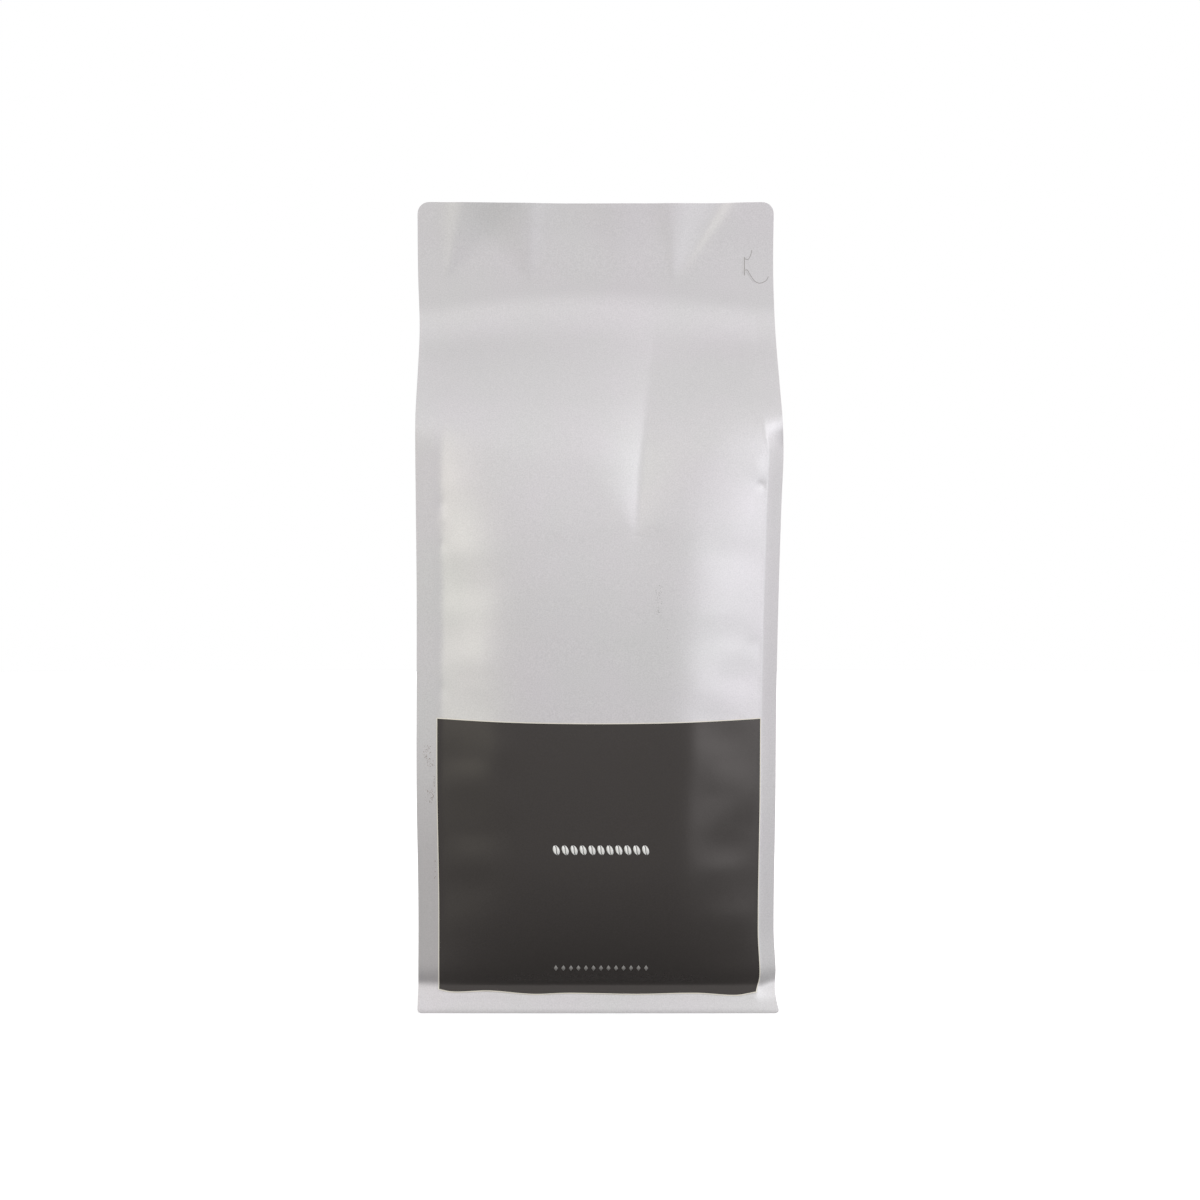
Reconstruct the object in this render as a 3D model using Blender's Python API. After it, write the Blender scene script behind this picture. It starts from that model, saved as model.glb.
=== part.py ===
"""A filled one-kilogram coffee bag: a flat-bottomed pouch of silver film with a dark paper label.

The bag stands on its base, its front faces -Y, and the origin is at the middle of its foot.
It is one closed skin, lofted from level outlines: the front and back panels, the two folded
side gussets, and the welded seams that stand out as fins along every edge of the panels.
"""

import math

import bmesh
import bpy

MM = 0.001

# The whole bag
BAG_HEIGHT = 336 * MM
SEAM_WIDTH = 8 * MM  # the heat-welded border of the front and back panels
FILM = 0.8 * MM  # a welded seam, drawn thicker than the real 0.3 mm
SEAM_HALF_DEPTH = 40 * MM  # from the middle plane out to a side seam
GUSSET_HALF_WIDTH = 40.2 * MM  # film from a side seam to the gusset's middle crease

# The outline seen from the front, as (height, x) in millimetres: the bag leans and narrows a little
LEFT_EDGE = [(0, -74.1), (12, -73.9), (46, -73.85), (95, -74.6), (168, -74.5), (230, -75.1)]
LEFT_EDGE += [(281, -75.4), (307, -76.2), (336, -76.4)]
RIGHT_EDGE = [(0, 73.6), (5, 72.5), (9, 72.1), (17, 72.4), (34, 71.6), (87, 72.35), (128, 72.7)]
RIGHT_EDGE += [(168, 73.55), (209, 74.85), (229, 75.65), (250, 74.85), (281, 74.1), (307, 73.3), (336, 73.55)]
TOP_CORNER_RADIUS = 5 * MM
FOOT_CORNER_RADIUS = 1.7 * MM
TOP_EDGE_DIP = 0.7 * MM  # the film is drawn down in the middle of the top edge

# The foot, where the seams are tucked in and then flare out onto the floor
FOOT_SEAM_HEIGHT = 6.5 * MM
FOOT_FLARE = 1.4 * MM
TUCK_HEIGHT = 10.5 * MM
TUCK_DEPTH = 1.3 * MM
# The underside's rings, in mm: in from the sides, in from the front, up
UNDERSIDE = [(0.8, 0.8, 0), (9, 5.6, 4.6), (13, 9, 0.3), (16, 12, 0)]

# The filled body: a panel is nearly flat in its middle, and falls evenly beside its seams
FRONT_SWELL = 10.5 * MM
BACK_SWELL = 11.9 * MM
MIDDLE_CURVE = 0.1  # slope of the middle, as a share of the flank's
LEFT_FLANK = (0.25, 0.88)  # where the flank starts and is steepest, from the middle to the seam
RIGHT_FLANK = (0.34, 0.65)
LEFT_FLANK_END = (0.92, 0.85)  # where it levels off again, and by which share
RIGHT_FLANK_END = (0.97, 0.3)
LOW_ROUNDING = 68 * MM  # height over which the lower panel rounds out
GUSSET_SWELL = 3.5 * MM

# The empty head, where the panels slope together
SHOULDER_HEIGHT = 236 * MM
SIDE_DROP = 4 * MM  # how much higher the head's foot would lie, if its sides were like its middle
ROLL_START = 162 * MM  # from here up the front leans back ever more
ROLL_SLOPE = 0.13
HEAD_TOP = 298 * MM
HEAD_BEND = 26 * MM  # height over which the slope turns upright
HEAD_FOOT = (226 * MM, 254 * MM)  # the slope eases off below this stretch
HEAD_ARCH = 6 * MM  # the bend lies higher in the middle of the front than at its sides
HEAD_ROUNDING = 6.5 * MM
PINCHED_HALF_DEPTH = 1.2 * MM  # where the press-to-close strip lies between the panels
TOP_SEAL_BOTTOM = 324 * MM
SEALED_HALF_DEPTH = 0.6 * MM
TOP_LEAN = 0.04  # the closed top leans forward by this slope

# The valley that runs down the front of the head to the top of the coffee
VALLEY_FOOT = (15.3 * MM, 196 * MM)
VALLEY_TOP = (25.5 * MM, 296 * MM)
VALLEY_DEPTH = 3.1 * MM
VALLEY_RAMP = 55 * MM  # height over which it opens
VALLEY_LEFT_SPREAD = 1.0
VALLEY_RIGHT_SPREAD = 1.3
FOLD_DROP = 11 * MM  # how far the head's foot comes down at the valley
FOLD_LEFT = 38 * MM
FOLD_RIGHT = 20 * MM

# Soft ridges in the closed top: x and height of the point in mm, lean, opening left and right, rise
# (one that sinks instead is a dent)
TOP_RIDGES = [(-64, 304, 0.24, 0.2, 0.45, 0.04), (-29, 304, -0.08, 0.5, 0.26, 0.045)]
TOP_RIDGES += [(31, 304, 0, 0.16, 0.4, 0.028), (33, 304, 0.55, 0.5, 0.12, -0.05)]

# How far each seam is turned back from the plane of its panel, in degrees, and how it bends
LEFT_SEAM_TURN = 5
RIGHT_SEAM_TURN = 40
BACK_SEAM_TURN = 28
SEAM_BEND = 3.5 * MM
SEAM_START = 0.85  # share of the turn that it has at its root
SEAM_LENGTHS = [0, 2.5 * MM, 8 * MM]

# The label, stuck on the front panel between the seams
LABEL_GAP = 0.5 * MM
LABEL_THICKNESS = 0.4 * MM
LABEL_SIDE_MARGIN = 0.7 * MM
LABEL_TOP = 120.4 * MM
LABEL_TOP_SAG = 1.9 * MM
LABEL_FOOT = 8 * MM

# The tear tab, die-cut at the right side just under the top seal
TAB_MIDDLE = (67.4 * MM, 309.7 * MM)
TAB_RADIUS = 7.4 * MM
TAB_NECK_LEFT = 61.8 * MM
TAB_NECK_HALF = 2.2 * MM
TAB_CUT_WIDTH = 0.5 * MM
TAB_CUT_DEPTH = 0.35 * MM

# How finely the solids are divided
FRONT_STEPS = 26
BACK_STEPS = 18
GUSSET_STEPS = 8
LABEL_COLUMNS = 26
LABEL_ROWS = 20


def clear_scene():
    for obj in list(bpy.data.objects):
        bpy.data.objects.remove(obj)


def film_material(name, colour, roughness, metallic):
    """A plain surface, with its colour in linear light."""
    material = bpy.data.materials.new(name)
    material.use_nodes = True
    shader = material.node_tree.nodes["Principled BSDF"]
    shader.inputs["Base Color"].default_value = (*colour, 1)
    shader.inputs["Roughness"].default_value = roughness
    shader.inputs["Metallic"].default_value = metallic
    return material


# Curves that the shapes are worked out from


def ease(low, high, value):
    """0 below low, 1 above high, and smooth between them."""
    share = min(max((value - low) / (high - low), 0), 1)
    return share * share * (3 - 2 * share)


def soft_min(a, b, softness):
    """The lower of two surfaces, with the edge between them rounded."""
    share = min(max(0.5 + 0.5 * (b - a) / softness, 0), 1)
    return b + (a - b) * share - softness * share * (1 - share)


def soft_max(a, b, softness):
    return -soft_min(-a, -b, softness)


def along(points, height):
    """Reads a smooth line through (height, x) points given in millimetres."""
    last = len(points) - 1
    reach = height / MM
    i = max(k for k in range(last) if k == 0 or points[k][0] <= reach)
    z0, x0 = points[i]
    z1, x1 = points[i + 1]
    before = points[max(i - 1, 0)]
    after = points[min(i + 2, last)]
    share = (reach - z0) / (z1 - z0)
    slope0 = (x1 - before[1]) / (z1 - before[0]) * (z1 - z0)
    slope1 = (after[1] - x0) / (after[0] - z0) * (z1 - z0)
    square, cube = share**2, share**3
    x = (2 * cube - 3 * square + 1) * x0 + (cube - 2 * square + share) * slope0
    x += (3 * square - 2 * cube) * x1 + (cube - square) * slope1
    return x * MM


def corner_cut(height):
    """How much the rounded corners take off each side of the outline at this height."""
    cut = 0
    into_top = height - (BAG_HEIGHT - TOP_CORNER_RADIUS)
    if into_top > 0:
        cut = TOP_CORNER_RADIUS - math.sqrt(max(TOP_CORNER_RADIUS**2 - into_top**2, 0))
    into_foot = FOOT_CORNER_RADIUS - height
    if into_foot > 0:
        cut = FOOT_CORNER_RADIUS - math.sqrt(max(FOOT_CORNER_RADIUS**2 - into_foot**2, 0))
    return cut


# Depths, measured out from the bag's middle plane


def body_depth(height):
    """The side seams of the filled body: upright, tucked in near the floor, and flared at the foot."""
    tuck = TUCK_DEPTH * math.exp(-(((height - TUCK_HEIGHT) / (4.5 * MM)) ** 2))
    flare = FOOT_FLARE * (1 - ease(0.3 * MM, FOOT_SEAM_HEIGHT, height))
    lead_in = 1.0 * MM * (1 - ease(FOOT_SEAM_HEIGHT, 2 * FOOT_SEAM_HEIGHT, height))
    return SEAM_HALF_DEPTH - tuck + flare + lead_in


def head_profile():
    """The head's depth, added up downwards: upright at the closing strip, steep, then rolling over."""
    step = 0.5 * MM
    fallen = 0
    profile = [(HEAD_TOP, 0)]
    while profile[-1][0] > 0:
        z = profile[-1][0] - step
        roll = 0.06 + ROLL_SLOPE * min(max((z - ROLL_START) / (HEAD_FOOT[0] - ROLL_START), 0), 1)
        steep = roll + (1 - ROLL_SLOPE) * ease(*HEAD_FOOT, z)
        fallen += steep * (1 - ease(HEAD_TOP - HEAD_BEND, HEAD_TOP, z))
        profile.append((z, fallen))
    return profile[::-1]


def panel_profile(flank, flank_end):
    """A filled panel's height over its seam, from 1 in the middle down to 0 at the seam."""
    end, levelled = flank_end
    fallen = 0
    profile = [(0, 0)]
    for step in range(1, 101):
        share = step / 100
        slope = MIDDLE_CURVE * share + ease(*flank, share)
        fallen += slope * (1 - levelled * ease(end, 1, share))
        profile.append((share, fallen))
    return [(share, 1 - sunk / fallen) for share, sunk in profile]


def read(profile, place):
    """The value between the two nearest of evenly spaced (place, value) points."""
    first, last = profile[0][0], profile[-1][0]
    position = min(max((place - first) / (last - first), 0), 1) * (len(profile) - 1)
    i = min(int(position), len(profile) - 2)
    return profile[i][1] + (profile[i + 1][1] - profile[i][1]) * (position - i)


HEAD_PROFILE = head_profile()
LEFT_PANEL = panel_profile(LEFT_FLANK, LEFT_FLANK_END)
RIGHT_PANEL = panel_profile(RIGHT_FLANK, RIGHT_FLANK_END)


def head_depth(across, height):
    """The sloping head, carried on downwards until the swollen body is in front of it."""
    side = SIDE_DROP * across**4 * (1 - ease(SHOULDER_HEIGHT - 12 * MM, SHOULDER_HEIGHT + 14 * MM, height))
    share = read(HEAD_PROFILE, height + side) / read(HEAD_PROFILE, SHOULDER_HEIGHT + SIDE_DROP)
    sealed = ease(HEAD_TOP, TOP_SEAL_BOTTOM, height)
    depth = PINCHED_HALF_DEPTH + (SEAM_HALF_DEPTH - PINCHED_HALF_DEPTH) * share
    return depth + (SEALED_HALF_DEPTH - PINCHED_HALF_DEPTH) * sealed


def swell(across, height, most):
    """How far a filled panel stands out of its seams, at across from -1 to 1."""
    sideways = read(LEFT_PANEL if across < 0 else RIGHT_PANEL, abs(across))
    below = min(max((LOW_ROUNDING - height) / (LOW_ROUNDING - 12 * MM), 0), 1)
    return most * sideways * (1 - below**3)


def beside_valley(x, height):
    """Distance from the valley's line, and the share of its height that is reached."""
    rise = (height - VALLEY_FOOT[1]) / (VALLEY_TOP[1] - VALLEY_FOOT[1])
    line = VALLEY_FOOT[0] + (VALLEY_TOP[0] - VALLEY_FOOT[0]) * max(rise, 0) ** 1.3
    return x - line, rise


def valley(x, height):
    """A shallow cone that opens upwards from its point: curved on its left side, even on its right."""
    above = height - VALLEY_FOOT[1]
    if above <= 0:
        return 0
    away, rise = beside_valley(x, height)
    opened = VALLEY_RAMP * (1 - math.exp(-above / VALLEY_RAMP)) + 1 * MM
    if away < 0:
        shape = max(1 + away / (VALLEY_LEFT_SPREAD * opened), 0) ** 2
    else:
        shape = max(1 - away / (VALLEY_RIGHT_SPREAD * opened), 0) ** 1.6
    return VALLEY_DEPTH * opened / (0.6 * VALLEY_RAMP) * (1 - ease(0.6, 1, rise)) * shape


def fold_drop(x, height):
    """How much earlier the head recedes near the valley, so that its foot comes down to a V."""
    away, _ = beside_valley(x, height)
    rounding = 1 * MM + 20 * MM * (1 - ease(VALLEY_FOOT[1] - 12 * MM, VALLEY_FOOT[1] + 4 * MM, height))
    near = math.hypot(away, rounding) - rounding
    fading = 1 - ease(SHOULDER_HEIGHT - 30 * MM, SHOULDER_HEIGHT + 30 * MM, height)
    return FOLD_DROP * fading * math.exp(-near / (FOLD_LEFT if away < 0 else FOLD_RIGHT))


def front_depth(x, across, height):
    body = body_depth(height) + swell(across, height, FRONT_SWELL)
    inside = 1 - across**4
    arch = HEAD_ARCH * (across**2 - 0.35) * ease(SHOULDER_HEIGHT, HEAD_TOP, height)
    head = head_depth(across, height + arch + fold_drop(x, height) * inside)
    head -= min(valley(x, height) * inside, 0.6 * head)
    rounding = 3 * MM + (HEAD_ROUNDING - 3 * MM) * (1 - across**8)
    return soft_min(body, head, rounding)


def back_depth(across, height):
    body = body_depth(height) + swell(across, height, BACK_SWELL)
    return soft_min(body, head_depth(across, height), 4 * MM)


def top_wave(x, height):
    """How far both panels stand forward together in the closed top, which leans and has ridges."""
    forward = TOP_LEAN * soft_max(height - HEAD_TOP, 0, 8 * MM)
    for point_x, point_z, lean, left, right, rising in TOP_RIDGES:
        above = soft_max(height - point_z * MM, 0, 3 * MM)
        away = x - point_x * MM - lean * above
        width = (left if away < 0 else right) * above + 1 * MM
        forward += rising * above * math.exp(-((away / width) ** 2))
    return forward


# Level outlines of the bag


def seam_turn(full_turn, height):
    """A side seam stands out of the body at an angle, and lies flat in the head and at the foot."""
    loose = ease(1 * MM, 15 * MM, height)
    loose *= 1 - ease(SHOULDER_HEIGHT - 6 * MM, SHOULDER_HEIGHT + 10 * MM, height)
    return math.radians(full_turn) * loose


def seam_direction(turn, length):
    """A seam bends near its root: its direction at a length from the root."""
    return turn * (SEAM_START + (1 - SEAM_START) * ease(0, SEAM_BEND, length))


def seam_reach(turn):
    """How far a seam stands out sideways."""
    reach = 0
    for near, far in zip(SEAM_LENGTHS, SEAM_LENGTHS[1:]):
        reach += (far - near) * math.cos(seam_direction(turn, (near + far) / 2))
    return reach


def fin(root, turn, side, facing, width, film):
    """A welded seam seen from above: its outer face after the root, and its inner face from the root.

    side is 1 on the right and -1 on the left; facing is -1 at the front and 1 at the back.
    """
    x, y = root
    outer = [root]
    for near, far in zip(SEAM_LENGTHS, SEAM_LENGTHS[1:]):
        direction = seam_direction(turn, (near + far) / 2)
        length = (far - near) * width / SEAM_WIDTH
        x += side * math.cos(direction) * length
        y -= facing * math.sin(direction) * length
        outer.append((x, y))
    inner = []
    for (x, y), length in zip(outer, SEAM_LENGTHS):
        direction = seam_direction(turn, length)
        inner.append((x - side * math.sin(direction) * film, y - facing * math.cos(direction) * film))
    return outer[1:], inner


def gusset_fold(depth):
    """How far the gusset's middle crease lies inside its seams, from the width of its film."""
    return math.sqrt(max(GUSSET_HALF_WIDTH**2 - depth**2, 0))


def gusset(front, back, side, depth, height):
    """The side panel from the front seam to the back seam: swollen low down, folded in above."""
    folding = ease(120 * MM, SHOULDER_HEIGHT, height)
    fold = gusset_fold(depth) * folding * (1 - 0.97 * ease(HEAD_TOP, TOP_SEAL_BOTTOM - 2 * MM, height))
    out = GUSSET_SWELL * (1 - folding) * ease(0, 40 * MM, height)
    points = []
    for step in range(1, GUSSET_STEPS):
        share = step / GUSSET_STEPS
        crease = 1 - abs(2 * share - 1)
        x = front[0] + (back[0] - front[0]) * share
        y = front[1] + (back[1] - front[1]) * share
        points.append((x + side * (out * crease * (2 - crease) - fold * crease), y))
    return points


def between(a, b, share):
    return (a[0] + (b[0] - a[0]) * share, a[1] + (b[1] - a[1]) * share)


def side_points(front_root, back_root, side, width, depth, height):
    """One side of the outline, from the front panel's seam round to the back panel's."""
    front_turn = seam_turn(RIGHT_SEAM_TURN if side > 0 else LEFT_SEAM_TURN, height)
    film = min(FILM, 0.6 * depth)
    front_outer, front_inner = fin(front_root, front_turn, side, -1, width, film)
    back_outer, back_inner = fin(back_root, seam_turn(BACK_SEAM_TURN, height), side, 1, width, film)
    fold = gusset(front_inner[0], back_inner[0], side, depth, height)
    inside = [*reversed(front_inner), *fold, *back_inner]
    shut = 1 if height >= TOP_SEAL_BOTTOM else max(1 - height / FOOT_SEAM_HEIGHT, 0)
    count = len(inside) + 1
    closed = [between(front_outer[-1], back_outer[-1], (k + 1) / count) for k in range(len(inside))]
    inside = [between(a, b, shut) for a, b in zip(inside, closed)]
    return [*front_outer, *inside, *reversed(back_outer)]


def panel_span(height):
    """The left and right ends of the front panel, between its seams."""
    left = along(LEFT_EDGE, height) + seam_reach(seam_turn(LEFT_SEAM_TURN, height))
    right = along(RIGHT_EDGE, height) - seam_reach(seam_turn(RIGHT_SEAM_TURN, height))
    return left, right


def outline(height):
    """The bag's outline at this height, counter-clockwise from the left end of the front panel."""
    left, right = panel_span(height)
    middle, half = (left + right) / 2, (right - left) / 2
    width = SEAM_WIDTH - corner_cut(height)
    front = []
    for step in range(FRONT_STEPS + 1):
        across = 2 * step / FRONT_STEPS - 1
        x = middle + half * across
        front.append((x, -front_depth(x, across, height)))
    back = []
    for step in range(BACK_STEPS + 1):
        across = 1 - 2 * step / BACK_STEPS
        back.append((middle + half * across, back_depth(across, height)))
    depth = back[0][1]
    right_side = side_points(front[-1], back[0], 1, width, depth, height)
    left_side = side_points(front[0], back[-1], -1, width, depth, height)
    ring = [*front, *right_side, *back, *reversed(left_side)]
    return [place(x, y, height) for x, y in ring]


def place(x, y, height):
    dip = TOP_EDGE_DIP * ease(HEAD_TOP, BAG_HEIGHT, height) * max(1 - (x / (BAG_HEIGHT / 4.5)) ** 2, 0)
    return (x, y - top_wave(x, height), height - dip)


def spaced(low, high, steps):
    """Heights from low up to, but without, high."""
    return [low + (high - low) * step / steps for step in range(steps)]


def outline_heights():
    """Close together where the bag bends: at the foot, round the shoulder and at the top corners."""
    heights = spaced(0, FOOT_CORNER_RADIUS, 2)
    heights += spaced(FOOT_CORNER_RADIUS, FOOT_SEAM_HEIGHT, 2)
    heights += spaced(FOOT_SEAM_HEIGHT, 24 * MM, 6)
    heights += spaced(24 * MM, 64 * MM, 5)
    heights += spaced(64 * MM, 180 * MM, 10)
    heights += spaced(180 * MM, 250 * MM, 13)
    heights += spaced(250 * MM, 290 * MM, 5)
    heights += spaced(290 * MM, TOP_SEAL_BOTTOM - 0.5 * MM, 6)
    heights += spaced(TOP_SEAL_BOTTOM - 0.5 * MM, TOP_SEAL_BOTTOM, 1)
    heights += spaced(TOP_SEAL_BOTTOM, BAG_HEIGHT - TOP_CORNER_RADIUS, 2)
    turns = [BAG_HEIGHT - TOP_CORNER_RADIUS * (1 - math.sin(math.radians(a))) for a in (0, 25, 50, 75, 90)]
    return heights + turns


# Making meshes


def bridge(mesh, lower, upper):
    """Faces between two rings of the same length, with their outsides facing outwards."""
    count = len(lower)
    for i in range(count):
        j = (i + 1) % count
        mesh.faces.new((lower[i], lower[j], upper[j], upper[i]))


def finished(name, mesh, material, smooth_degrees):
    bmesh.ops.triangulate(mesh, faces=mesh.faces)
    data = bpy.data.meshes.new(name)
    mesh.to_mesh(data)
    mesh.free()
    data.shade_smooth()
    data.set_sharp_from_angle(angle=math.radians(smooth_degrees))
    data.materials.append(material)
    obj = bpy.data.objects.new(name, data)
    bpy.context.scene.collection.objects.link(obj)
    return obj


def underside_rings(foot):
    """In from the foot's edge: up behind the bottom seam, and down to the flat base that it rests on."""
    half_x = max(x for x, _, _ in foot)
    half_y = max(y for _, y, _ in foot)
    for inset_x, inset_y, rise in UNDERSIDE:
        scale_x = 1 - inset_x * MM / half_x
        scale_y = 1 - inset_y * MM / half_y
        yield [(x * scale_x, y * scale_y, rise * MM) for x, y, _ in foot]


def pouch(material):
    mesh = bmesh.new()
    rings = [[mesh.verts.new(point) for point in outline(height)] for height in outline_heights()]
    for lower, upper in zip(rings, rings[1:]):
        bridge(mesh, lower, upper)
    below = rings[0]
    for ring in underside_rings(outline(0)):
        inner = [mesh.verts.new(point) for point in ring]
        bridge(mesh, inner, below)
        below = inner
    mesh.faces.new(below[::-1])
    mesh.faces.new(rings[-1])
    skin = finished("pouch", mesh, material, 35)
    engrave(skin, tab_cut_line())
    return skin


def label(material):
    """A sheet that follows the front panel, a little off it, from seam to seam."""
    mesh = bmesh.new()
    layers = []
    for offset in (LABEL_GAP, LABEL_GAP + LABEL_THICKNESS):
        grid = []
        for row in range(LABEL_ROWS + 1):
            grid.append([label_point(mesh, column, row, offset) for column in range(LABEL_COLUMNS + 1)])
        layers.append(grid)
    inner, outer = layers
    for r in range(LABEL_ROWS):
        for c in range(LABEL_COLUMNS):
            mesh.faces.new((outer[r][c], outer[r][c + 1], outer[r + 1][c + 1], outer[r + 1][c]))
            mesh.faces.new((inner[r][c], inner[r + 1][c], inner[r + 1][c + 1], inner[r][c + 1]))
    bridge(mesh, rim(inner), rim(outer))
    return finished("label", mesh, material, 35)


def label_point(mesh, column, row, offset):
    across = 2 * column / LABEL_COLUMNS - 1
    top = LABEL_TOP - LABEL_TOP_SAG * (1 - across**2)
    share = row / LABEL_ROWS
    height = LABEL_FOOT + (top - LABEL_FOOT) * share * (0.35 + 0.65 * share)
    left, right = panel_span(height)
    half = (right - left) / 2
    x = (left + right) / 2 + (half - LABEL_SIDE_MARGIN) * across
    on_panel = (x - (left + right) / 2) / half
    return mesh.verts.new((x, -front_depth(x, on_panel, height) - offset, height))


def rim(grid):
    """The border of a grid of points, once round."""
    right = [row[-1] for row in grid]
    left = [row[0] for row in grid]
    return [*grid[0], *right[1:-1], *reversed(grid[-1]), *reversed(left[1:-1])]


def tab_cut_line():
    """The cut seen from the front: from the head's top, past the neck's slit, to the head's far side."""
    middle_x, middle_z = TAB_MIDDLE
    upper = [math.radians(a) for a in range(100, 141, 10)]
    lower = [math.radians(a) for a in range(215, 336, 10)]
    points = [(middle_x + TAB_RADIUS * math.cos(a), middle_z + TAB_RADIUS * math.sin(a)) for a in upper]
    points.append((TAB_NECK_LEFT, middle_z + TAB_NECK_HALF))
    points.append((TAB_NECK_LEFT, middle_z - TAB_NECK_HALF))
    points += [(middle_x + TAB_RADIUS * math.cos(a), middle_z + TAB_RADIUS * math.sin(a)) for a in lower]
    return points


def panel_y(x, height):
    """The front panel's place in the closed top, a little inside its right seam."""
    return -front_depth(x, 1, height) - top_wave(x, height)


def engrave(obj, line):
    """Cuts a fine groove along a line of (x, z) points into the film of the head."""
    mesh = bmesh.new()
    half = TAB_CUT_WIDTH / 2
    left, right = [], []
    for i, (x, z) in enumerate(line):
        before, after = line[max(i - 1, 0)], line[min(i + 1, len(line) - 1)]
        along_x, along_z = after[0] - before[0], after[1] - before[1]
        length = math.hypot(along_x, along_z)
        left.append((x - along_z / length * half, z + along_x / length * half))
        right.append((x + along_z / length * half, z - along_x / length * half))
    sections = []
    for a, b in zip(left, right):
        corners = [(a, 1 * MM), (b, 1 * MM), (b, -TAB_CUT_DEPTH), (a, -TAB_CUT_DEPTH)]
        sections.append([mesh.verts.new((p[0], panel_y(*p) - out, p[1])) for p, out in corners])
    for first, second in zip(sections, sections[1:]):
        for i in range(4):
            j = (i + 1) % 4
            mesh.faces.new((first[i], first[j], second[j], second[i]))
    mesh.faces.new(sections[0][::-1])
    mesh.faces.new(sections[-1])
    bmesh.ops.recalc_face_normals(mesh, faces=mesh.faces)
    cutter = finished("tab_cutter", mesh, obj.data.materials[0], 35)
    cut = obj.modifiers.new("tab_cut", "BOOLEAN")
    cut.operation = "DIFFERENCE"
    cut.solver = "EXACT"
    cut.object = cutter
    bpy.context.view_layer.update()
    cut_data = bpy.data.meshes.new_from_object(obj.evaluated_get(bpy.context.evaluated_depsgraph_get()))
    obj.modifiers.clear()
    obj.data = cut_data
    bpy.data.objects.remove(cutter)


def main():
    clear_scene()
    silver = film_material("silver_film", (0.62, 0.61, 0.61), 0.45, 0.5)
    charcoal = film_material("charcoal_paper", (0.045, 0.042, 0.041), 0.55, 0.0)
    pouch(silver)
    label(charcoal)


main()
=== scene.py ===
# %% [markdown]
# # A filled coffee bag
#
# This lesson dresses a finished CAD model of a coffee bag: a flat-bottomed pouch of matte silver film
# with a charcoal paper label. The CAD model fixes the sizes; here the film gets its creases and swell,
# the label its paper, and the scene its studio light. Everything is in metres, the bag stands on the
# floor at the origin, and its front faces -Y.

# %% Load the frame
import math

import bmesh
import bpy
import numpy as np
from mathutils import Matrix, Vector, noise


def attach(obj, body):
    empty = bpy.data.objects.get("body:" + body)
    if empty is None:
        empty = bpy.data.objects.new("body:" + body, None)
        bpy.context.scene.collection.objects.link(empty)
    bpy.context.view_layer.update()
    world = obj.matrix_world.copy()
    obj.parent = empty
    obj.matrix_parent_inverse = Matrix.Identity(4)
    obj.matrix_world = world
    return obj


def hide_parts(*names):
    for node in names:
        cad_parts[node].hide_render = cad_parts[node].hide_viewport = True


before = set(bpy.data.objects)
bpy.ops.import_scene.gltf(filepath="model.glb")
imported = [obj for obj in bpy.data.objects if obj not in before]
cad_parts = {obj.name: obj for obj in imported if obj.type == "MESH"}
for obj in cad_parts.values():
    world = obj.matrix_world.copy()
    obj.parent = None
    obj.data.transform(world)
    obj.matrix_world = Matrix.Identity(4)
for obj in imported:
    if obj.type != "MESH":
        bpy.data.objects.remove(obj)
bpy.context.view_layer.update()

MM = 0.001

# %% [markdown]
# ## The camera
#
# A product photographer stands well back, so that the bag's sides stay parallel. The camera is level
# with the middle of the bag, 1.3 m in front of it, and the lens is worked out from the width of the
# picture at the bag. From nearer by, a shorter lens would make the bag's foot look small.

# %% Camera
CAMERA_DISTANCE = 1.3
PICTURE_WIDTH = 505.6 * MM
CAMERA_HEIGHT = 168.5 * MM
CAMERA_OFFSET = 0.4 * MM  # the bag stands a hair left of the picture's middle
SENSOR_WIDTH = 36

camera_data = bpy.data.cameras.new("studio_camera")
camera_data.sensor_width = SENSOR_WIDTH
camera_data.lens = SENSOR_WIDTH * CAMERA_DISTANCE / PICTURE_WIDTH
camera = bpy.data.objects.new("studio_camera", camera_data)
camera.location = (CAMERA_OFFSET, -CAMERA_DISTANCE, CAMERA_HEIGHT)
camera.rotation_euler = (math.radians(90), 0, 0)
bpy.context.scene.collection.objects.link(camera)
bpy.context.scene.camera = camera
print("lens:", round(camera_data.lens, 1), "mm")

# %% [markdown]
# ## Curves to shape with
#
# The film swells, leans and folds, and a few small curves describe all of it.
# `ease` is a smooth step, `soft_min` joins two surfaces with a rounded edge, `bump` is a soft hill, and
# `follow` reads a smooth line through a handful of points. They take numpy arrays, so a whole panel is
# worked out at once.

# %% Curves


def ease(low, high, value):
    share = np.clip((value - low) / (high - low), 0, 1)
    return share * share * (3 - 2 * share)


def soft_min(a, b, softness):
    share = np.clip(0.5 + 0.5 * (b - a) / softness, 0, 1)
    return b + (a - b) * share - softness * share * (1 - share)


def soft_max(a, b, softness):
    return -soft_min(-a, -b, softness)


def bump(distance, half_width):
    return np.exp(-((distance / half_width) ** 2))


def follow(points, height):
    """A smooth line through (height, x) points in millimetres, read at one height in metres."""
    last = len(points) - 1
    reach = height / MM
    i = max(k for k in range(last) if k == 0 or points[k][0] <= reach)
    (z0, x0), (z1, x1) = points[i], points[i + 1]
    before, after = points[max(i - 1, 0)], points[min(i + 2, last)]
    share = (reach - z0) / (z1 - z0)
    slope0 = (x1 - before[1]) / (z1 - before[0]) * (z1 - z0)
    slope1 = (after[1] - x0) / (after[0] - z0) * (z1 - z0)
    square, cube = share**2, share**3
    x = (2 * cube - 3 * square + 1) * x0 + (cube - 2 * square + share) * slope0
    return (x + (3 * square - 2 * cube) * x1 + (cube - square) * slope1) * MM


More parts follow.
